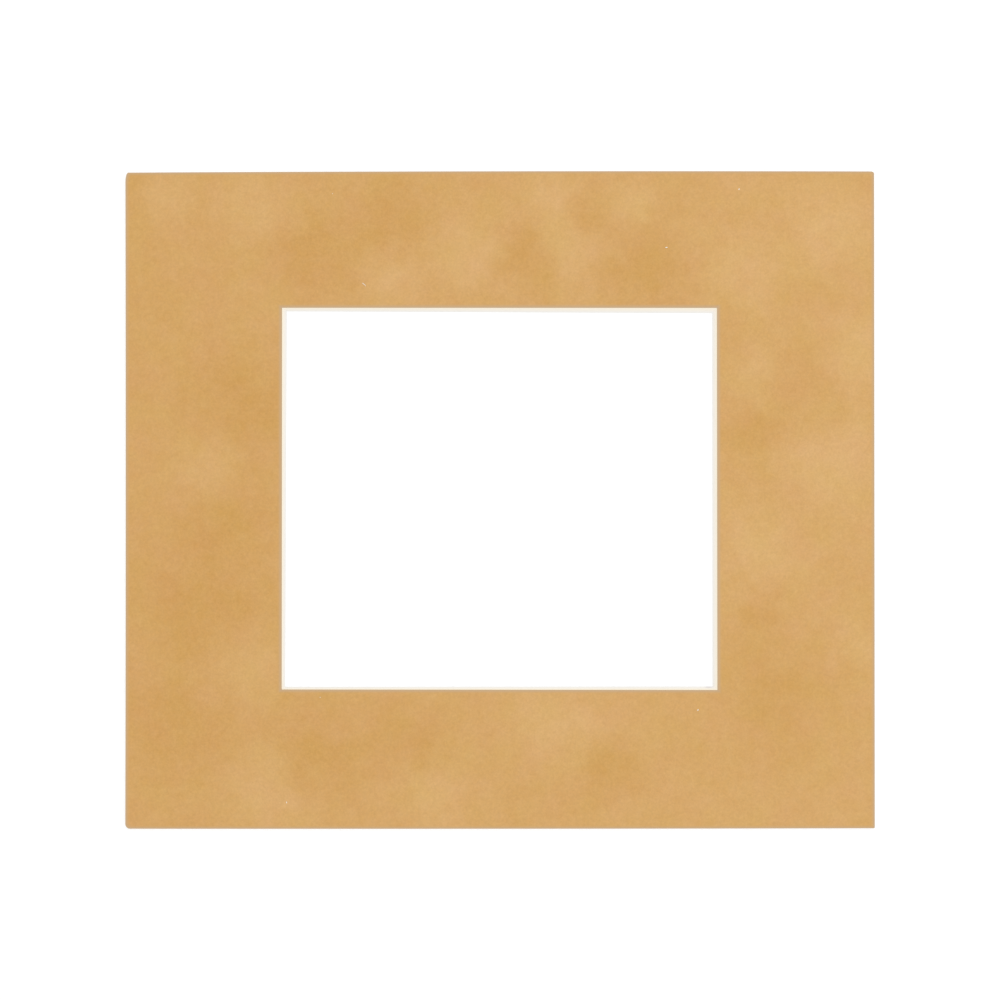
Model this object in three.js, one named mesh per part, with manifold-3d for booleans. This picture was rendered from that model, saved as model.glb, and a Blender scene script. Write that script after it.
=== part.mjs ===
// A picture mount: a sheet of suede-faced mount board with a bevelled window.
// It lies on its back, face up. The origin is the middle of its back, +X runs
// along the long side, +Y towards the top edge and +Z out of the face.
// Lengths are in millimetres and angles in degrees.

import * as THREE from 'three';
import { mergeVertices } from 'three/addons/utils/BufferGeometryUtils.js';
import Module from 'manifold-3d';

const wasm = await Module();
wasm.setup();

// The sheet, and the margins left round the window on the face.
const BOARD_WIDTH = 304.8;
const BOARD_HEIGHT = 267.5;
const MARGIN_LEFT = 63.6;
const MARGIN_RIGHT = 64;
const MARGIN_TOP = 55.5;
const MARGIN_BOTTOM = 56.5;

// The two layers that are glued together to make the board.
const CORE_THICKNESS = 1.5;
const FACING_THICKNESS = 0.2;

// The knife leans this far over from upright as it cuts the window.
const BEVEL_ANGLE = 45;

// Each outer corner is blunted by handling: how far the wear runs along the
// edge beside X, and along the edge beside Y.
const WORN_TOP_LEFT = { alongX: 1.1, alongY: 4.5 };
const WORN_TOP_RIGHT = { alongX: 1.4, alongY: 0.8 };
const WORN_BOTTOM_RIGHT = { alongX: 0.5, alongY: 0.5 };
const WORN_BOTTOM_LEFT = { alongX: 2.4, alongY: 1.0 };
const CORNER_STEPS = 8;

// The knife's block runs on past both faces, so that it cuts clean through.
const CUT_PAST = 1;

const BOARD_THICKNESS = CORE_THICKNESS + FACING_THICKNESS;
const HALF_WIDTH = BOARD_WIDTH / 2;
const HALF_HEIGHT = BOARD_HEIGHT / 2;

// The window's four sides on the face.
const WINDOW = {
  left: MARGIN_LEFT - HALF_WIDTH,
  right: HALF_WIDTH - MARGIN_RIGHT,
  bottom: MARGIN_BOTTOM - HALF_HEIGHT,
  top: HALF_HEIGHT - MARGIN_TOP,
};

function solidOf(geometry) {
  geometry.deleteAttribute('normal');
  geometry.deleteAttribute('uv');
  const merged = mergeVertices(geometry);
  return new wasm.Manifold(new wasm.Mesh({
    numProp: 3,
    vertProperties: merged.attributes.position.array,
    triVerts: new Uint32Array(merged.index.array),
  }));
}

function geometryOf(solid) {
  const mesh = solid.getMesh();
  const geometry = new THREE.BufferGeometry();
  geometry.setAttribute('position', new THREE.BufferAttribute(mesh.vertProperties, 3));
  geometry.setIndex(new THREE.BufferAttribute(mesh.triVerts, 1));
  const faceted = geometry.toNonIndexed();
  faceted.computeVertexNormals();
  return faceted;
}

// The sheet's outline, run round from the bottom right. Each corner is a quarter
// of an ellipse, as long each way as that corner's wear.
function sheetOutline() {
  const corners = [
    { x: HALF_WIDTH, y: -HALF_HEIGHT, worn: WORN_BOTTOM_RIGHT, start: -90 },
    { x: HALF_WIDTH, y: HALF_HEIGHT, worn: WORN_TOP_RIGHT, start: 0 },
    { x: -HALF_WIDTH, y: HALF_HEIGHT, worn: WORN_TOP_LEFT, start: 90 },
    { x: -HALF_WIDTH, y: -HALF_HEIGHT, worn: WORN_BOTTOM_LEFT, start: 180 },
  ];
  const outline = new THREE.Shape();
  for (const { x, y, worn, start } of corners) {
    const centreX = x - Math.sign(x) * worn.alongX;
    const centreY = y - Math.sign(y) * worn.alongY;
    const from = THREE.MathUtils.degToRad(start);
    const to = THREE.MathUtils.degToRad(start + 90);
    outline.absellipse(centreX, centreY, worn.alongX, worn.alongY, from, to);
  }
  outline.closePath();
  return outline;
}

// A layer of the sheet, between two heights above the back.
function layer(bottom, thickness) {
  const blank = new THREE.ExtrudeGeometry(sheetOutline(), {
    depth: thickness,
    bevelEnabled: false,
    curveSegments: CORNER_STEPS,
  });
  return solidOf(blank.translate(0, 0, bottom));
}

// What the four passes of the leaning knife take out. It has the window's size
// at the face and closes in by the same amount on all sides below it.
function windowCut() {
  const { left, right, bottom, top } = WINDOW;
  const depth = BOARD_THICKNESS + 2 * CUT_PAST;
  const block = new THREE.BoxGeometry(right - left, top - bottom, depth);
  block.translate((left + right) / 2, (top + bottom) / 2, BOARD_THICKNESS / 2);
  const closing = Math.tan(THREE.MathUtils.degToRad(BEVEL_ANGLE));
  const corner = block.attributes.position;
  const middleX = (left + right) / 2;
  const middleY = (top + bottom) / 2;
  for (let i = 0; i < corner.count; i += 1) {
    const inwards = (BOARD_THICKNESS - corner.getZ(i)) * closing;
    corner.setX(i, corner.getX(i) - Math.sign(corner.getX(i) - middleX) * inwards);
    corner.setY(i, corner.getY(i) - Math.sign(corner.getY(i) - middleY) * inwards);
  }
  return solidOf(block);
}

const knife = windowCut();

// The cream card that gives the mount its stiffness and shows at the bevel.
function core() {
  const material = new THREE.MeshStandardMaterial({
    color: 0xf3ecdd, roughness: 0.9, metalness: 0,
  });
  const mesh = new THREE.Mesh(geometryOf(layer(0, CORE_THICKNESS).subtract(knife)), material);
  mesh.name = 'core_board';
  return mesh;
}

// The tan suede-effect sheet glued over the core, cut with it in one pass.
function facing() {
  const material = new THREE.MeshStandardMaterial({
    color: 0xd6a96b, roughness: 0.95, metalness: 0,
  });
  const sheet = layer(CORE_THICKNESS, FACING_THICKNESS).subtract(knife);
  const mesh = new THREE.Mesh(geometryOf(sheet), material);
  mesh.name = 'suede_facing';
  return mesh;
}

const mount = new THREE.Group();
mount.add(core(), facing());

export default mount;
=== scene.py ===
# %% [markdown]
# # A picture mount
# A picture mount is a sheet of board with a window cut in it. It stands between a
# picture and the glass of its frame. This one has a tan suede-effect face, glued
# over a pale pulp core that shows as a bright bevel round the window. The solids
# come from a CAD model, which gives the sizes; Blender gives the sheet its nap, its
# cut edges and its light.

# %% Load the frame and keep its box
import math

import bpy
import numpy as np
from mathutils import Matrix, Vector, noise


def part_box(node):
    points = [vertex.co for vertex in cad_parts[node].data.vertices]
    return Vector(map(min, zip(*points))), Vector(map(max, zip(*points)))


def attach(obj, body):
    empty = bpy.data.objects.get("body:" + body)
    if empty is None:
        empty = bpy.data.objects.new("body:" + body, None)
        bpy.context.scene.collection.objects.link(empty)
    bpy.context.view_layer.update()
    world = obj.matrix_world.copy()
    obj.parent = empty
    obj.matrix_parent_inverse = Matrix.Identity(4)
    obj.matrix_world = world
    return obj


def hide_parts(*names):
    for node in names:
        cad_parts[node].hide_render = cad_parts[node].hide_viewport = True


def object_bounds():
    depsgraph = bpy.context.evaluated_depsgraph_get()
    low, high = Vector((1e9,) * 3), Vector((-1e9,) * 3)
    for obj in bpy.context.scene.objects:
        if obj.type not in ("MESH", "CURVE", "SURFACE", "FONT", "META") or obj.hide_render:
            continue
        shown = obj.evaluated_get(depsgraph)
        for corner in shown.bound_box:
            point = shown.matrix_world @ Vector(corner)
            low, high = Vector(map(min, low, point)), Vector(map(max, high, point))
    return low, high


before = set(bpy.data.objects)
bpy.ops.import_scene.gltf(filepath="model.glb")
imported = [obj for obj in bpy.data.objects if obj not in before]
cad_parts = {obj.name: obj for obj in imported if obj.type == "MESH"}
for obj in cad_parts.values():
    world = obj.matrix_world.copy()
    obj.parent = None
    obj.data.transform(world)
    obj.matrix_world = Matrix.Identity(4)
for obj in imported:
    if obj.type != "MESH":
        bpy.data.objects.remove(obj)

MM = 0.001
cad_low, cad_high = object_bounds()
half_width = cad_high.x
half_height = cad_high.y
face_height = cad_high.z
print(f"sheet {2000 * half_width:.1f} x {2000 * half_height:.1f} x {1000 * face_height:.2f} mm")

# %% [markdown]
# ## The camera
# The photograph looks straight down on the sheet. A long lens at 1.2 m keeps the
# sides parallel and lets all four bevels be seen. In the picture the bottom and
# the right side are a hair larger than the top and the left, so the lens stands a
# fifth of a degree towards them. The frame's width follows from how many of the
# picture's pixels the sheet fills, so no focal length has to be guessed.

# %% Camera
PICTURE_PIXELS = 1000
SHEET_PIXELS = 748.41
CAMERA_DISTANCE = 1200 * MM
LEANS_DOWN = math.radians(0.22)
LEANS_RIGHT = math.radians(0.21)
ROLL = math.radians(-0.05)
AIM_ABOVE_MIDDLE = 0.06 * MM

camera_data = bpy.data.cameras.new("camera")
camera = bpy.data.objects.new("camera", camera_data)
bpy.context.scene.collection.objects.link(camera)
bpy.context.scene.camera = camera
picture_width = 2 * half_width * PICTURE_PIXELS / SHEET_PIXELS
camera_data.lens = camera_data.sensor_width * CAMERA_DISTANCE / picture_width
camera.location = (CAMERA_DISTANCE * math.sin(LEANS_RIGHT),
                   AIM_ABOVE_MIDDLE - CAMERA_DISTANCE * math.sin(LEANS_DOWN),
                   face_height + CAMERA_DISTANCE)
camera.rotation_euler = (LEANS_DOWN, LEANS_RIGHT, ROLL)
print(f"lens {camera_data.lens:.1f} mm, picture {1000 * picture_width:.1f} mm wide")

# %% [markdown]
# ## Helpers for every finish
# Colours are written as sRGB hex, as a paint chart or a picture editor gives them,
# and Blender computes in linear light, so one function turns the one into the
# other. The second adds a node to a tree with its settings, its values and its
# links in one call, which keeps a finish short enough to read. Most sockets go by
# name. A colour Mix node's go by number: its share is 0, its colours are 6 and 7,
# and its result is 2. The last two start an empty tree, and turn a pattern's real
# size into a texture's scale.

# %% Colour and node helpers
def linear(hex_colour):
    """Linear RGBA of a colour written as #RRGGBB."""
    channels = [int(hex_colour[i:i + 2], 16) / 255 for i in (1, 3, 5)]
    return [c / 12.92 if c <= 0.04045 else ((c + 0.055) / 1.055) ** 2.4 for c in channels] + [1.0]


def add(tree, kind, inputs=(), **settings):
    """Add a node. Inputs are values or other nodes' sockets, by socket name or number."""
    node = tree.nodes.new(kind)
    for name, value in settings.items():
        setattr(node, name, value)
    for socket, value in dict(inputs).items():
        if isinstance(value, bpy.types.NodeSocket):
            tree.links.new(value, node.inputs[socket])
        else:
            node.inputs[socket].default_value = value
    return node


def new_tree(data):
    """An empty node tree for a material or a world."""
    data.use_nodes = True
    data.node_tree.nodes.clear()
    return data.node_tree


def per_metre(size_mm):
    """How many pattern cells of this size fit in a metre, which is a texture's scale."""
    return 1 / (size_mm * MM)


# %% [markdown]
# ## Plain studio light
# The sheet was lit evenly, as for a catalogue, with only a little more light from
# the upper right: the left and bottom bevels, which face it, are a shade brighter.
# A white world gives the even part and one large soft lamp the rest. Together
# they make a white card render as white, so every colour comes out as written.

# %% World and key lamp
SKY_SHARE = 0.94
KEY_SHARE = 1 - SKY_SHARE
KEY_PLACE = Vector((0.7, 0.5, 1.2))
KEY_SIZE = 0.8
WHITE = "#FFFFFF"


def seen_rays(tree):
    """A socket that is 1 for what the camera sees, also in gloss and glass, and 0 for light."""
    ray = add(tree, "ShaderNodeLightPath").outputs
    mirrored = add(tree, "ShaderNodeMath", {0: ray["Is Glossy Ray"], 1: ray["Is Transmission Ray"]},
                   operation="MAXIMUM").outputs[0]
    return add(tree, "ShaderNodeMath", {0: ray["Is Camera Ray"], 1: mirrored},
               operation="MAXIMUM").outputs[0]


bpy.context.scene.view_settings.view_transform = "Standard"
world = bpy.data.worlds.new("white studio")
bpy.context.scene.world = world
tree = new_tree(world)
strength = add(tree, "ShaderNodeMapRange", {
    "Value": seen_rays(tree), "To Min": SKY_SHARE, "To Max": 1.0,
}).outputs[0]
sky = add(tree, "ShaderNodeBackground", {"Color": linear(WHITE), "Strength": strength})
add(tree, "ShaderNodeOutputWorld", {"Surface": sky.outputs[0]})

key_data = bpy.data.lights.new("key", "AREA")
key_data.size = KEY_SIZE
key = bpy.data.objects.new("key", key_data)
key.location = KEY_PLACE
key.rotation_euler = (-KEY_PLACE).to_track_quat("-Z", "Y").to_euler()
bpy.context.scene.collection.objects.link(key)
# At this power the lamp alone lights a level white card to its share of white.
slant = KEY_PLACE.normalized().z
key_data.energy = math.pi ** 2 * KEY_PLACE.length_squared * KEY_SHARE / slant
print(f"key lamp {key_data.energy:.2f} W")

# %% [markdown]
# ## The floor
# The background is pure white right up to the sheet. The floor is white card that
# shows a little brighter to the camera than it is, so that it reaches white and
# still carries the thin contact shadow under the sheet's edge.

# %% Floor
FLOOR_SIZE = 12.0
FLOOR_GAP = 0.02 * MM
FLOOR_LIFT = 0.17
FLOOR_CARD = "#F5F5F5"

floor_mesh = bpy.data.meshes.new("floor")
reach = FLOOR_SIZE / 2
floor_mesh.from_pydata([(-reach, -reach, 0), (reach, -reach, 0), (reach, reach, 0), (-reach, reach, 0)],
                       [], [(0, 1, 2, 3)])
floor = bpy.data.objects.new("floor", floor_mesh)
floor.location.z = -FLOOR_GAP
bpy.context.scene.collection.objects.link(floor)

white_card = bpy.data.materials.new("white card floor")
tree = new_tree(white_card)
lift = add(tree, "ShaderNodeMath", {0: seen_rays(tree), 1: FLOOR_LIFT}, operation="MULTIPLY").outputs[0]
card = add(tree, "ShaderNodeBsdfDiffuse", {"Color": linear(FLOOR_CARD)}).outputs[0]
glow = add(tree, "ShaderNodeEmission", {"Color": linear(WHITE), "Strength": lift}).outputs[0]
both = add(tree, "ShaderNodeAddShader", {0: card, 1: glow}).outputs[0]
add(tree, "ShaderNodeOutputMaterial", {"Surface": both})
floor_mesh.materials.append(white_card)

# %% [markdown]
# ## What the CAD model says
# The two solids hold every size that is needed: where the window's corners are on
# the face and at the foot of the bevel, how high the glue line is, and how far
# each worn outer corner is blunted. They are read from the solids' own points, so
# the dressed sheet follows if the model changes.

# %% Read the sheet
# The way to each corner: bottom left, bottom right, top right and top left.
CORNERS = [(-1, -1), (1, -1), (1, 1), (-1, 1)]
# Lengths that differ by less than this count as the same.
HAIR = 0.01 * MM


def points_at(node, height):
    """The different points of a CAD node at one height, as rows of x and y."""
    points = np.array([v.co[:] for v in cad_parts[node].data.vertices])
    level = points[abs(points[:, 2] - height) < HAIR]
    return np.unique(np.round(level[:, :2], 7), axis=0)


def window_corners(points):
    """The four points nearest the middle, in the order of CORNERS."""
    nearest = points[np.argsort(np.hypot(points[:, 0], points[:, 1]))[:4]]
    return np.array([nearest[np.argmax(nearest @ np.array(corner))] for corner in CORNERS])


def worn_run(points, corner):
    """How far a corner's wear runs along the edge beside X and the edge beside Y."""
    mirrored_points = points * np.array(corner)
    beside_x = mirrored_points[mirrored_points[:, 1] > half_height - HAIR][:, 0].max()
    beside_y = mirrored_points[mirrored_points[:, 0] > half_width - HAIR][:, 1].max()
    return half_width - beside_x, half_height - beside_y


glue_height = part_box("suede_facing")[0].z
face_points = points_at("suede_facing", face_height)
window_face = window_corners(face_points)
window_foot = window_corners(points_at("core_board", 0.0))
worn = [worn_run(face_points, corner) for corner in CORNERS]
print("window on the face, mm:", (window_face / MM).round(2).tolist())
print("worn corners, mm:", [[round(float(run) / MM, 2) for run in pair] for pair in worn])

# %% [markdown]
# ## How true the sheet was cut
# A mount is cut by hand against a rule. The sheet's edges bow by a few tenths of
# a millimetre, its window isn't quite square to it, and the foot of the bevel
# wanders as the blade's lean changes: here it is narrowest along the bottom and
# at the lower left. A model with perfect lines would look printed, so its corners
# and sides are moved by the little that the photograph shows, and the wear of two
# corners is set right by a millimetre at most.

# %% Hand-cut lines
# How far each corner is off, in millimetres, in the order of CORNERS.
SHEET_OFF = [(-0.34, 0.05), (0.0, 0.11), (0.07, 0.0), (-0.18, -0.1)]
FACE_OFF = [(-0.35, 0.08), (0.29, -0.28), (0.26, 0.24), (-0.17, 0.41)]
FOOT_OFF = [(-0.54, -0.43), (-0.21, -0.41), (-0.16, -0.45), (0.24, 0.52)]
# How far the middle of each side bulges outwards: bottom, right, top and left.
SHEET_BOW = [0.11, 0.0, 0.3, -0.15]
OUTWARDS = [(0, -1), (1, 0), (0, 1), (-1, 0)]
# How much further each corner's wear runs than in the CAD model, beside X and beside Y.
WEAR_OFF = [(-0.2, 0.9), (0.0, 0.0), (0.0, 0.2), (0.0, 0.0)]

window_face = window_face + np.array(FACE_OFF) * MM
window_foot = window_foot + np.array(FOOT_OFF) * MM
sheet_off = np.array(SHEET_OFF) * MM
sheet_bow = np.array(SHEET_BOW)[:, None] * np.array(OUTWARDS) * MM
worn = np.array(worn) + np.array(WEAR_OFF) * MM

# %% [markdown]
# ## Lines round the sheet
# The sheet is a flat ring, so the simplest tidy mesh is a set of closed lines that
# all have the same number of points: one on each edge, and more between them.
# Joining each line to the next gives four-sided faces all over, with real mitres
# at the window's corners. Points are close together near the corners, to draw the
# wear and the mitres well, and wider along the straight sides.

# %% Points along the four sides
CORNER_STEP = 0.12 * MM
SIDE_STEP = 1.5 * MM
STEP_GROWTH = 1.2
ARC_POINTS = 24


def graded(length):
    """Distances along a side, close together at both ends. The last one is left out."""
    near = [0.0]
    step = CORNER_STEP
    while step < SIDE_STEP:
        near.append(near[-1] + step)
        step *= STEP_GROWTH
    middle_count = round((length - 2 * near[-1]) / SIDE_STEP)
    middle = np.linspace(near[-1], length - near[-1], middle_count + 1)
    far = length - np.array(near[-2:0:-1])
    return np.concatenate([near[:-1], middle, far])


def worn_arc(corner, runs, start, end):
    """Part of a worn corner: a quarter ellipse between two angles from the X direction."""
    angle = np.radians(np.linspace(start, end, ARC_POINTS))
    x = half_width - runs[0] + runs[0] * np.cos(angle)
    y = half_height - runs[1] + runs[1] * np.sin(angle)
    return np.stack([x, y], axis=1) * np.array(corner)


def side_lines(side):
    """One side's points on the outline, on the window's face edge and on the bevel's foot.

    On the outline it runs from the middle of one worn corner to the middle of the next.
    """
    after = (side + 1) % 4
    end_angle = 90 if side % 2 == 0 else 0
    path = np.concatenate([worn_arc(CORNERS[side], worn[side], 45, end_angle),
                           worn_arc(CORNERS[after], worn[after], end_angle, 45)])
    travelled = np.concatenate([[0.0], np.cumsum(np.hypot(*np.diff(path, axis=0).T))])
    distance = graded(travelled[-1])
    outline = np.stack([np.interp(distance, travelled, path[:, 0]),
                        np.interp(distance, travelled, path[:, 1])], axis=1)
    share = (distance / travelled[-1])[:, None]
    outline += sheet_off[side] + (sheet_off[after] - sheet_off[side]) * share
    outline += sheet_bow[side] * 4 * share * (1 - share)
    face = window_face[side] + (window_face[after] - window_face[side]) * share
    foot = window_foot[side] + (window_foot[after] - window_foot[side]) * share
    return outline, face, foot


outline, face_line, foot_line = (np.concatenate(lines) for lines in zip(*map(side_lines, range(4))))
inward = face_line - outline
inward /= np.linalg.norm(inward, axis=1)[:, None]
print(f"{len(outline)} points round the sheet")

# %% [markdown]
# ## From lines to a solid ring
# Each line is a plan (x and y) at a height, and together the lines run once round
# the board's section: up the outer edge, over the top, down the bevel and back
# underneath. A solid made this way has no seams or loose faces, and each band
# between two lines can have its own finish.

# %% Ring helpers
SHARP_ANGLE = math.radians(32)


def line_at(plan, height):
    """A line's points at a height, or at one height for each point."""
    return np.column_stack([plan, np.broadcast_to(height, len(plan))])


def window_at(height):
    """The plan of the bevel at a height above the back."""
    return foot_line + (face_line - foot_line) * height / face_height


def ring(name, lines, finishes, finish_of_band=None):
    """Join closed lines, each to the next and the last to the first, into one object.

    Each band between two lines can have a finish of its own, by number.
    """
    count = len(outline)
    quads = []
    for band in range(len(lines)):
        here = band * count
        there = (band + 1) % len(lines) * count
        for i in range(count):
            after = (i + 1) % count
            quads.append((here + i, here + after, there + after, there + i))
    mesh = bpy.data.meshes.new(name)
    mesh.from_pydata(np.concatenate(lines).tolist(), [], quads)
    for finish in finishes:
        mesh.materials.append(finish)
    if finish_of_band is not None:
        mesh.polygons.foreach_set("material_index", np.repeat(finish_of_band, count))
    mesh.shade_smooth()
    mesh.set_sharp_from_angle(angle=SHARP_ANGLE)
    piece = bpy.data.objects.new(name, mesh)
    bpy.context.scene.collection.objects.link(piece)
    print(f"{name}: {2 * len(quads)} triangles")
    return piece


# %% [markdown]
# ## Finish: flocked suede-effect paper
# Suede-effect mount paper is a base sheet dyed through, with millions of short
# rayon fibres stood up in its glue. It has no gloss at all. Where the nap leans
# towards you it looks deeper, and where it leans away it looks paler and greyer,
# and handling leaves soft cloudy patches of both. So the colour is one mix of a
# brushed-down and a brushed-up tone, and the paler brushed-up tone is the nap's
# sheen painted into the colour: a painted sheen. One number drives it: how far the
# nap stands up, and so how much painted sheen shows. Clouds of several sizes sway
# that number, and so do this sheet's larger patches, and it grows towards the lamp
# on the right as painted sheen. Fine tufts then change the brightness as painted
# shade between the fibres, and the uneven dye the hue, both by very little. Along
# the sheet's rim and the window the cut has crushed the nap into a thin, dull line.
# Sheen gives the pale bloom that short fibres have when seen along the surface.

# %% Suede-effect paper
NAP_DOWN = "#CC9851"
# The brushed-up tone is the nap-down tone with the nap's sheen painted in: a painted sheen.
NAP_UP_SHEEN = "#E3BA84"
CUT_PAPER = "#C9B294"
CRUSHED_NAP = "#CCAB83"
BLOOM = "#F2DFC0"

# How far the nap stands up, and so how much painted sheen shows, as a number: lying quite flat, right up,
# and usually.
FLAT_LAY = -0.75
UPRIGHT_LAY = 1.75
USUAL_LAY = 0.36
# The painted sheen grows a little towards the lamp on the right: by this much per metre.
SHEEN_TO_THE_RIGHT = 0.8
# Clouds in the nap: size of one in millimetres, and how much it sways the number.
CLOUDS = [(24, 0.3), (11, 0.35), (5, 0.4), (2.2, 0.45)]

# Where hands have brushed the nap up, shown as painted sheen: x, y and reach in millimetres.
BRUSHED_UP_SHEEN = [
    (-135, 125, 20), (-100, 120, 25), (-45, 90, 20), (-15, 100, 25), (20, 120, 20), (30, 100, 20),
    (55, 120, 15), (100, 95, 25), (135, 110, 30), (145, 60, 25), (105, 50, 20), (140, 15, 35),
    (105, -20, 30), (145, -60, 15), (-120, 10, 25), (-105, -70, 25), (-95, -120, 30), (-30, -120, 25),
    (25, -90, 30),
]
# And where they have laid it down, with less painted sheen.
BRUSHED_DOWN = [
    (-45, 115, 25), (-75, 100, 30), (10, 100, 20), (35, 115, 15), (60, 95, 35), (-105, 40, 35),
    (-110, -5, 30), (-120, -40, 45), (-130, -90, 35), (-75, -105, 30), (-40, -100, 30), (40, -110, 25),
    (125, 50, 25), (100, 30, 25), (105, -45, 15), (115, -80, 45),
]
# How much a patch sways the number at its middle.
UP_SWAY = 0.5
DOWN_SWAY = -0.4
# A patch's outline wanders: size of one wander in millimetres, and its full reach.
WANDER_SIZE = 12
WANDER_REACH = 20 * MM

# The real fibres are about 0.05 mm apart, too fine to show. They are drawn as
# tufts, the finest under two of the picture's pixels wide, with painted shade in
# the gaps between them: size of one in millimetres, and the share by which its
# painted shade changes the brightness.
TUFTS = [(1.3, 0.09), (0.7, 0.15)]
TUFT_HEIGHT = 0.08 * MM
# The dye wanders between a yellower and a pinker tan, which tint the nap.
YELLOWER = "#FDFFF5"
PINKER = "#FFFDFF"
DYE_SIZE = 14
# Noise runs from 0 to 1, but is seldom outside these two values.
NOISE_LOW = 0.3
NOISE_HIGH = 0.7
# How far under the face the nap ends, and how softly it gives way to the paper.
NAP_DEPTH = 0.08 * MM
NAP_FADE = 0.02 * MM
# The mesh's point values of this name say how crushed the nap is, from 0 to 1.
CRUSHED = "crushed"
print(f"{len(BRUSHED_UP_SHEEN)} patches brushed up and {len(BRUSHED_DOWN)} laid down")

# %% [markdown]
# ## The suede-effect paper's nodes
# The number for how far the nap stands up, and so how much painted sheen shows, is
# a sum, with a term for each cloud and each patch, and it ends as a share between
# the two tones. The patches are soft discs whose outlines are made to wander,
# because a hand leaves no circles. All of it is measured in the sheet's own
# coordinates, so the pattern stays on the sheet whichever side it is seen from.

# %% Nodes of the suede-effect paper
def suede_paper():
    """Flocked mount paper: matt, cloudy nap, with its paler base showing on cut edges."""
    material = bpy.data.materials.new("flocked suede paper")
    tree = new_tree(material)
    place = add(tree, "ShaderNodeTexCoord").outputs["Object"]
    axes = add(tree, "ShaderNodeSeparateXYZ", {0: place}).outputs

    # How far the nap stands up, and so how much painted sheen shows, starting with the
    # painted sheen that grows across towards the lamp. Noise is a half on average, so
    # half of all the clouds' sways comes off first.
    start = USUAL_LAY - sum(sway for size, sway in CLOUDS) / 2
    nap_and_sheen = add(tree, "ShaderNodeMath", {0: axes["X"], 1: SHEEN_TO_THE_RIGHT, 2: start},
              operation="MULTIPLY_ADD").outputs[0]
    for size, sway in CLOUDS:
        cloud = add(tree, "ShaderNodeTexNoise", {"Vector": place, "Scale": per_metre(size), "Detail": 0.5})
        nap_and_sheen = add(tree, "ShaderNodeMath", {0: cloud.outputs[0], 1: sway, 2: nap_and_sheen},
                  operation="MULTIPLY_ADD").outputs[0]

    # Patches with wandering outlines: the place is shifted by a noise before it is measured.
    drift = add(tree, "ShaderNodeTexNoise", {
        "Vector": place, "Scale": per_metre(WANDER_SIZE), "Detail": 2.0,
    })
    shift = add(tree, "ShaderNodeVectorMath", {0: drift.outputs["Color"], 1: (0.5, 0.5, 0.5)},
                operation="SUBTRACT").outputs[0]
    shift = add(tree, "ShaderNodeVectorMath", {0: shift, "Scale": WANDER_REACH},
                operation="SCALE").outputs[0]
    wandering = add(tree, "ShaderNodeVectorMath", {0: place, 1: shift}, operation="ADD").outputs[0]
    for patches, sway in ((BRUSHED_UP_SHEEN, UP_SWAY), (BRUSHED_DOWN, DOWN_SWAY)):
        for x, y, reach in patches:
            middle = (x * MM, y * MM, face_height)
            far = add(tree, "ShaderNodeVectorMath", {0: wandering, 1: middle}, operation="DISTANCE")
            near = add(tree, "ShaderNodeMapRange", {
                "Value": far.outputs["Value"], "From Min": reach * MM, "From Max": 0.0, "To Max": sway,
            }, interpolation_type="SMOOTHSTEP")
            nap_and_sheen = add(tree, "ShaderNodeMath", {0: near.outputs[0], 1: nap_and_sheen}, operation="ADD").outputs[0]
    upright = add(tree, "ShaderNodeMapRange", {
        "Value": nap_and_sheen, "From Min": FLAT_LAY, "From Max": UPRIGHT_LAY,
    }).outputs[0]
    nap = add(tree, "ShaderNodeMix", {0: upright, 6: linear(NAP_DOWN), 7: linear(NAP_UP_SHEEN)},
              data_type="RGBA").outputs[2]

    # The dye's hue, and the tufts, whose darker gaps are painted shade between the fibres.
    dye = add(tree, "ShaderNodeTexNoise", {"Vector": place, "Scale": per_metre(DYE_SIZE), "Detail": 2.0})
    pinkness = add(tree, "ShaderNodeMapRange", {
        "Value": dye.outputs[0], "From Min": NOISE_LOW, "From Max": NOISE_HIGH,
    }).outputs[0]
    tint = add(tree, "ShaderNodeMix", {0: pinkness, 6: linear(YELLOWER), 7: linear(PINKER)},
               data_type="RGBA").outputs[2]
    nap = add(tree, "ShaderNodeVectorMath", {0: nap, 1: tint}, operation="MULTIPLY").outputs[0]
    for size, share in TUFTS:
        tuft = add(tree, "ShaderNodeTexNoise", {"Vector": place, "Scale": per_metre(size), "Detail": 0.5})
        tuft_shade = add(tree, "ShaderNodeMath", {0: tuft.outputs[0], 1: share, 2: 1 - share / 2},
                         operation="MULTIPLY_ADD").outputs[0]
        nap = add(tree, "ShaderNodeVectorMath", {0: nap, "Scale": tuft_shade}, operation="SCALE").outputs[0]

    # The crushed line along the rim and the window.
    crushed = add(tree, "ShaderNodeAttribute", attribute_name=CRUSHED).outputs["Fac"]
    nap = add(tree, "ShaderNodeMix", {0: crushed, 6: nap, 7: linear(CRUSHED_NAP)},
              data_type="RGBA").outputs[2]

    # Below the nap the cut edge shows the base paper.
    nap_root = face_height - NAP_DEPTH
    edge = add(tree, "ShaderNodeMapRange", {
        "Value": axes["Z"], "From Min": nap_root - NAP_FADE, "From Max": nap_root + NAP_FADE,
    }).outputs[0]
    colour = add(tree, "ShaderNodeMix", {0: edge, 6: linear(CUT_PAPER), 7: nap},
                 data_type="RGBA").outputs[2]

    finest_size, _ = TUFTS[-1]
    relief = add(tree, "ShaderNodeTexNoise", {
        "Vector": place, "Scale": per_metre(finest_size), "Detail": 2.0,
    })
    bump = add(tree, "ShaderNodeBump", {
        "Height": relief.outputs[0], "Strength": 0.5, "Distance": TUFT_HEIGHT,
    })
    paper = add(tree, "ShaderNodeBsdfPrincipled", {
        "Base Color": colour, "Roughness": 0.95, "IOR": 1.47, "Specular IOR Level": 0.2,
        "Sheen Weight": 0.15, "Sheen Roughness": 0.6, "Sheen Tint": linear(BLOOM),
        "Normal": bump.outputs[0],
    })
    add(tree, "ShaderNodeOutputMaterial", {"Surface": paper.outputs[0]})
    return material


suede = suede_paper()
print(f"{suede.name}: {len(suede.node_tree.nodes)} nodes")
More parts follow.
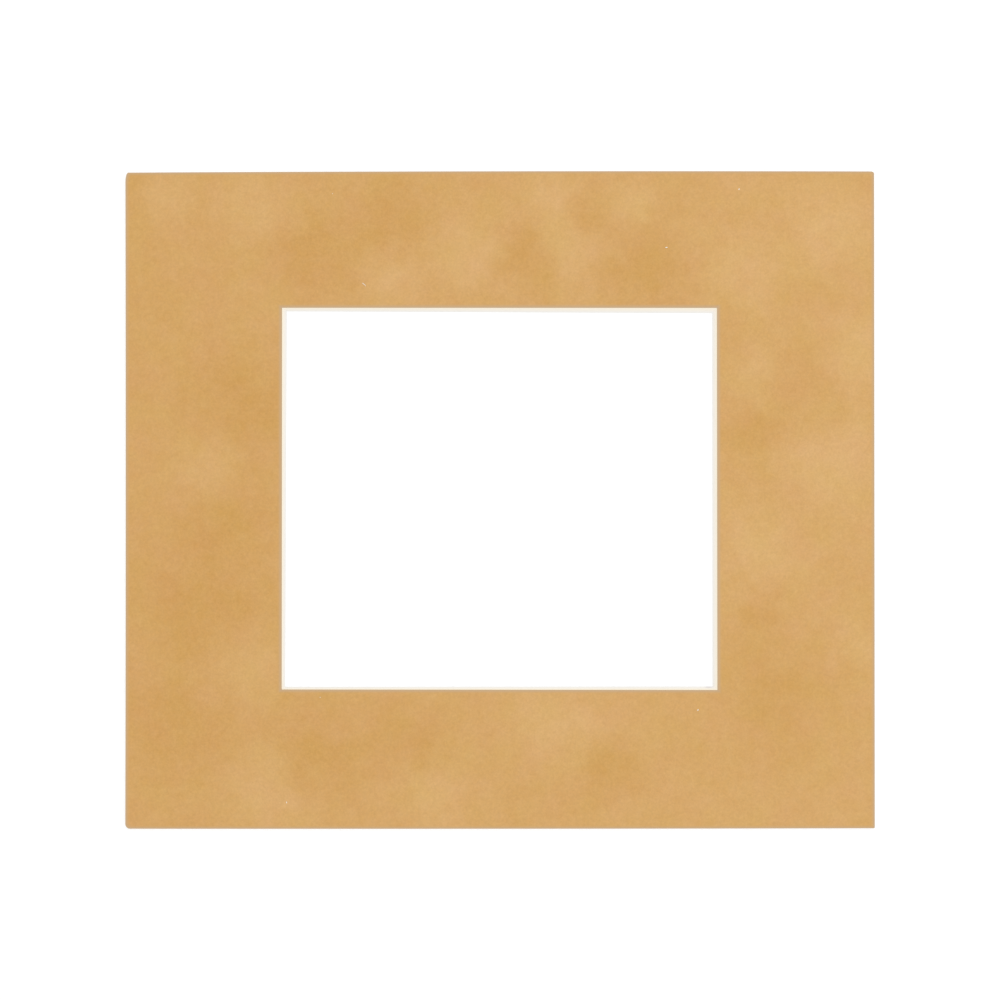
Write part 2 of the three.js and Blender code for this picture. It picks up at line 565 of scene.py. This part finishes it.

# %% [markdown]
# ## Finish: pulp core and lining paper
# The core is bleached wood pulp pressed into plies and pasted together. The blade
# leaves it dead matt, a touch creamier under the facing, where the dye and glue
# have soaked in, and greyer at the foot. The back of such board is lined with a
# smooth off-white paper, which isn't seen in the photograph and is kept plain. One
# darker spot is painted on the foot of the bevel, beside the lower right corner.

# %% Core and lining
PLY_COUNT = 4
CORE_TOP = "#FFF4DC"
CORE_MIDDLE = "#FBF3E6"
CORE_FOOT = "#F4F3F0"
# How far up the core its middle tone is, as a share of its thickness.
MIDDLE_TONE_AT = 0.6
PLY_LINE = "#EEE9DF"
# How much of a ply's thickness the paste line fades over, and how clear it is.
PASTE_SHARE = 0.08
PASTE_STRENGTH = 0.5
PULP_FIBRE_SIZE = 0.4
PULP_FIBRE_HEIGHT = 0.03 * MM

# The darker spot's middle and its reach each way in millimetres, its colour and its strength.
DARK_SPOT_AT = (85.0, -76.3, 0.3)
DARK_SPOT_REACH = (2.4, 0.7, 0.7)
DARK_SPOT = "#CFC6CB"
DARK_SPOT_STRENGTH = 0.5
# Distance from its middle is counted in its reaches: it is full up to here, and gone at 1.
DARK_SPOT_FULL = 0.2

# The lining's thinner and thicker places, and their size in millimetres.
LINING_THIN = "#EFEBE0"
LINING_THICK = "#F3F0E7"
LINING_CLOUD_SIZE = 4

ply = glue_height / PLY_COUNT
print(f"{PLY_COUNT} plies of {ply / MM:.3f} mm")


def pulp_core():
    """Cut pulp board: cream under the facing, greyer at the foot, with faint ply lines."""
    material = bpy.data.materials.new("bleached pulp core")
    tree = new_tree(material)
    place = add(tree, "ShaderNodeTexCoord").outputs["Object"]
    height = add(tree, "ShaderNodeSeparateXYZ", {0: place}).outputs["Z"]
    level = add(tree, "ShaderNodeMapRange", {"Value": height, "From Max": glue_height}).outputs[0]
    ramp = add(tree, "ShaderNodeValToRGB", {0: level})
    ramp.color_ramp.elements[0].color = linear(CORE_FOOT)
    ramp.color_ramp.elements[1].color = linear(CORE_TOP)
    ramp.color_ramp.elements.new(MIDDLE_TONE_AT).color = linear(CORE_MIDDLE)

    # A line of paste shows between the plies, wherever the height is near a whole number of them.
    plies = add(tree, "ShaderNodeMath", {0: height, 1: 1 / ply}, operation="MULTIPLY").outputs[0]
    to_line = add(tree, "ShaderNodeMath", {0: plies, 1: 1.0}, operation="PINGPONG").outputs[0]
    line = add(tree, "ShaderNodeMapRange", {
        "Value": to_line, "From Min": 0.0, "From Max": PASTE_SHARE, "To Min": PASTE_STRENGTH, "To Max": 0.0,
    }).outputs[0]
    lined = add(tree, "ShaderNodeMix", {0: line, 6: ramp.outputs[0], 7: linear(PLY_LINE)},
                data_type="RGBA").outputs[2]

    # The darker spot fades out from its middle.
    from_mark = add(tree, "ShaderNodeVectorMath", {0: place, 1: [side * MM for side in DARK_SPOT_AT]},
                    operation="SUBTRACT").outputs[0]
    from_mark = add(tree, "ShaderNodeVectorMath", {
        0: from_mark, 1: [per_metre(side) for side in DARK_SPOT_REACH],
    }, operation="MULTIPLY").outputs[0]
    from_mark = add(tree, "ShaderNodeVectorMath", {0: from_mark}, operation="LENGTH").outputs["Value"]
    mark = add(tree, "ShaderNodeMapRange", {
        "Value": from_mark, "From Min": 1.0, "From Max": DARK_SPOT_FULL, "To Max": DARK_SPOT_STRENGTH,
    }).outputs[0]
    lined = add(tree, "ShaderNodeMix", {0: mark, 6: lined, 7: linear(DARK_SPOT)},
                data_type="RGBA").outputs[2]

    fibres = add(tree, "ShaderNodeTexNoise", {
        "Vector": place, "Scale": per_metre(PULP_FIBRE_SIZE), "Detail": 3.0,
    })
    bump = add(tree, "ShaderNodeBump", {
        "Height": fibres.outputs[0], "Strength": 0.4, "Distance": PULP_FIBRE_HEIGHT,
    })
    core = add(tree, "ShaderNodeBsdfPrincipled", {
        "Base Color": lined, "Roughness": 0.9, "IOR": 1.47, "Specular IOR Level": 0.3,
        "Normal": bump.outputs[0],
    })
    add(tree, "ShaderNodeOutputMaterial", {"Surface": core.outputs[0]})
    return material


def lining_paper():
    """Smooth uncoated lining paper with the faint cloudiness that paper has."""
    material = bpy.data.materials.new("uncoated lining paper")
    tree = new_tree(material)
    place = add(tree, "ShaderNodeTexCoord").outputs["Object"]
    cloud = add(tree, "ShaderNodeTexNoise", {
        "Vector": place, "Scale": per_metre(LINING_CLOUD_SIZE), "Detail": 4.0,
    })
    colour = add(tree, "ShaderNodeMix", {
        0: cloud.outputs[0], 6: linear(LINING_THIN), 7: linear(LINING_THICK),
    }, data_type="RGBA").outputs[2]
    paper = add(tree, "ShaderNodeBsdfPrincipled", {
        "Base Color": colour, "Roughness": 0.75, "IOR": 1.47, "Specular IOR Level": 0.4,
    })
    add(tree, "ShaderNodeOutputMaterial", {"Surface": paper.outputs[0]})
    return material


core_finish = pulp_core()
back_finish = lining_paper()

# %% [markdown]
# ## The suede-effect facing
# The facing is a fifth of a millimetre thick. Handling has rounded its outer edge,
# while the blade left its window edge crisp. It isn't perfectly flat either: paste
# and pulp leave a very shallow unevenness, which is made in the mesh, below the
# sheet's full height, so that it shows as it should at a low angle.

# %% Build the facing
RIM_RADIUS = 0.1 * MM
ARRIS = 0.03 * MM
UNEVEN_SIZE = 14 * MM
UNEVEN_DEPTH = 0.012 * MM
RIM_ANGLES = (0, 30, 60, 90)
# Where two more lines lie on the way from the rim to the bevel, on each side of the glue.
THIRDS = (0.33, 0.66)
# The lines over the face: how far each is on the way from the rim to the window,
# and how crushed the nap is there. It has half faded less than a millimetre in.
BY_THE_RIM = [(0.004, 0.95), (0.008, 0.9), (0.012, 0.5), (0.017, 0.25), (0.024, 0.0)]
BETWEEN = [(share, 0.0) for share in np.linspace(0.05, 0.95, 28)]
BY_THE_WINDOW = [(0.972, 0.0), (0.978, 0.1), (0.984, 0.3), (0.99, 0.8), (0.997, 1.0)]


def unevenness(plan):
    """How far below the full height the face lies at each point of a line."""
    return np.array([UNEVEN_DEPTH * (1 + noise.noise(Vector((x, y, 0)) / UNEVEN_SIZE)) for x, y in plan])


def facing_lines():
    """Lines up the facing's rim, over its face, down its bevel and back under it.

    With each goes how crushed the nap is there, from 0 to 1.
    """
    lines = [line_at(outline, glue_height), line_at(outline, (glue_height + face_height) / 2)]
    for angle in np.radians(RIM_ANGLES):
        inset = RIM_RADIUS * (1 - math.cos(angle))
        drop = RIM_RADIUS * (1 - math.sin(angle))
        lines.append(line_at(outline + inward * inset, face_height - drop - UNEVEN_DEPTH))
    crushed = [1.0] * len(lines)
    for share, crushed_here in BY_THE_RIM + BETWEEN + BY_THE_WINDOW:
        plan = outline + (face_line - outline) * share
        lines.append(line_at(plan, face_height - unevenness(plan)))
        crushed.append(crushed_here)
    lines.append(line_at(face_line - inward * ARRIS, face_height - unevenness(face_line)))
    for height in (face_height - ARRIS, (glue_height + face_height) / 2, glue_height):
        lines.append(line_at(window_at(height), height))
    for share in reversed(THIRDS):
        lines.append(line_at(outline + (window_at(glue_height) - outline) * share, glue_height))
    crushed += [1.0] * (len(lines) - len(crushed))
    return lines, crushed


lines, crushed = facing_lines()
facing = ring("suede_paper_facing", lines, [suede])
crushed_points = facing.data.attributes.new(CRUSHED, "FLOAT", "POINT")
crushed_points.data.foreach_set("value", np.repeat(crushed, len(outline)))
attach(facing, "root")
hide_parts("suede_facing")

# %% [markdown]
# ## The pulp core
# The core carries the facing, flush with it on the outer edge and along the
# bevel. Both cut faces show the plies, as hair-thin grooves where the paste gave
# way beside the blade, and the thin foot of the bevel is slightly crushed.

# %% Build the core
GROOVE_HALF = 0.025 * MM
GROOVE_DEPTH = 0.02 * MM
FOOT_RADIUS = 0.05 * MM
# Between its two ends the rounded foot has one more line, this share of its radius
# away from both faces.
FOOT_LINE = 0.3
BACK_LINES = 12
groove_profile = [(-GROOVE_HALF, 0.0), (0.0, GROOVE_DEPTH), (GROOVE_HALF, 0.0)]
ply_heights = [ply * number for number in range(1, PLY_COUNT)]


def core_lines():
    """Lines up the core's outer edge, under the facing, down the bevel and over the back."""
    lines = [line_at(outline + inward * FOOT_RADIUS, 0.0),
             line_at(outline + inward * FOOT_RADIUS * FOOT_LINE, FOOT_RADIUS * FOOT_LINE),
             line_at(outline, FOOT_RADIUS)]
    for height in ply_heights:
        for offset, depth in groove_profile:
            lines.append(line_at(outline + inward * depth, height + offset))
    lines.append(line_at(outline, glue_height))
    for share in THIRDS:
        lines.append(line_at(outline + (window_at(glue_height) - outline) * share, glue_height))
    lines.append(line_at(window_at(glue_height), glue_height))
    for height in reversed(ply_heights):
        for offset, depth in groove_profile:
            lines.append(line_at(window_at(height - offset) - inward * depth, height - offset))
    lines.append(line_at(window_at(2 * FOOT_RADIUS), 2 * FOOT_RADIUS))
    lines.append(line_at(window_at(0.5 * FOOT_RADIUS) - inward * 0.5 * FOOT_RADIUS, 0.5 * FOOT_RADIUS))
    side_count = len(lines)
    for share in np.linspace(0.0, 1.0, BACK_LINES + 1)[:-1]:
        start = foot_line - inward * FOOT_RADIUS
        end = outline + inward * FOOT_RADIUS
        lines.append(line_at(start + (end - start) * share, 0.0))
    # The cut sides and the glued top have the first finish and the back has the second.
    band_finish = [0] * side_count + [1] * (len(lines) - side_count)
    return lines, band_finish


lines, band_finish = core_lines()
core = ring("pulp_core", lines, [core_finish, back_finish], band_finish)
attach(core, "root")
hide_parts("core_board")

# %% [markdown]
# ## Lint on the nap
# A nap catches lint. A few white threads and flecks lie on the face, none longer
# than a rice grain is wide, and the one bent thread is two bits end to end. Each is
# a tiny flattened bead, stretched along the way it lies: at this size that is all
# of its shape that can be seen. The lower half of each bead is sunk in the nap, as
# lint is, so it hardly stands above the sheet.

# %% Finish of the lint
LINT_SHADE = "#E6DCCB"
LINT_LIGHT = "#FBFAF8"
STRAND_SIZE = 0.15


def cotton_lint():
    """Loose cotton fibre: matt and nearly white, a little darker between its strands."""
    material = bpy.data.materials.new("cotton lint")
    tree = new_tree(material)
    place = add(tree, "ShaderNodeTexCoord").outputs["Object"]
    strands = add(tree, "ShaderNodeTexNoise", {
        "Vector": place, "Scale": per_metre(STRAND_SIZE), "Detail": 2.0,
    })
    colour = add(tree, "ShaderNodeMix", {
        0: strands.outputs[0], 6: linear(LINT_SHADE), 7: linear(LINT_LIGHT),
    }, data_type="RGBA").outputs[2]
    cotton = add(tree, "ShaderNodeBsdfPrincipled", {
        "Base Color": colour, "Roughness": 0.9, "IOR": 1.53, "Sheen Weight": 0.2,
    })
    add(tree, "ShaderNodeOutputMaterial", {"Surface": cotton.outputs[0]})
    return material


# %% Lay the lint
# Each bit: x, y, length and width in millimetres, and its direction in degrees.
LINT = [
    (-55.6, 88.2, 1.3, 0.22, -40), (-54.9, 87.6, 1.1, 0.2, -60), (67.9, 102.9, 0.95, 0.45, 0),
    (80.5, -85.5, 0.75, 0.42, 50), (97.5, 126.6, 0.65, 0.45, 30), (-73.3, -80.2, 0.45, 0.22, 15),
    (-87.0, -123.0, 0.75, 0.3, 85), (-68.1, 125.0, 0.45, 0.2, 80),
]
LINT_HEIGHT = 0.04 * MM
BEAD_SIDES = 12
BEAD_RINGS = 6


def bead(x, y, length, width, direction):
    """Points and faces of one flattened bead that lies on the face."""
    turn = math.radians(direction)
    along = Vector((math.cos(turn), math.sin(turn), 0)) * length / 2 * MM
    across = Vector((-math.sin(turn), math.cos(turn), 0)) * width / 2 * MM
    upright = Vector((0, 0, LINT_HEIGHT))
    middle = Vector((x * MM, y * MM, face_height - UNEVEN_DEPTH))
    points = [middle - along]
    for step in range(1, BEAD_RINGS):
        swing = math.pi * step / BEAD_RINGS
        for side in range(BEAD_SIDES):
            angle = math.tau * side / BEAD_SIDES
            outward = across * math.cos(angle) + upright * math.sin(angle)
            points.append(middle - along * math.cos(swing) + outward * math.sin(swing))
    points.append(middle + along)
    faces = []
    for side in range(BEAD_SIDES):
        after = (side + 1) % BEAD_SIDES
        faces.append((0, 1 + after, 1 + side))
        last = 1 + (BEAD_RINGS - 2) * BEAD_SIDES
        faces.append((len(points) - 1, last + side, last + after))
        for step in range(BEAD_RINGS - 2):
            near = 1 + step * BEAD_SIDES
            far = near + BEAD_SIDES
            faces.append((near + side, near + after, far + after, far + side))
    return points, faces


lint_points = []
lint_faces = []
for bit in LINT:
    points, faces = bead(*bit)
    first = len(lint_points)
    lint_points += points
    lint_faces += [[first + corner for corner in face] for face in faces]
lint_mesh = bpy.data.meshes.new("lint_specks")
lint_mesh.from_pydata(lint_points, [], lint_faces)
lint_mesh.materials.append(cotton_lint())
lint_mesh.shade_smooth()
lint = bpy.data.objects.new("lint_specks", lint_mesh)
bpy.context.scene.collection.objects.link(lint)
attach(lint, "root")
# Lint has no slot of its own in the record, so it goes with the paper that it lies on.
print(f"{len(LINT)} bits of lint")
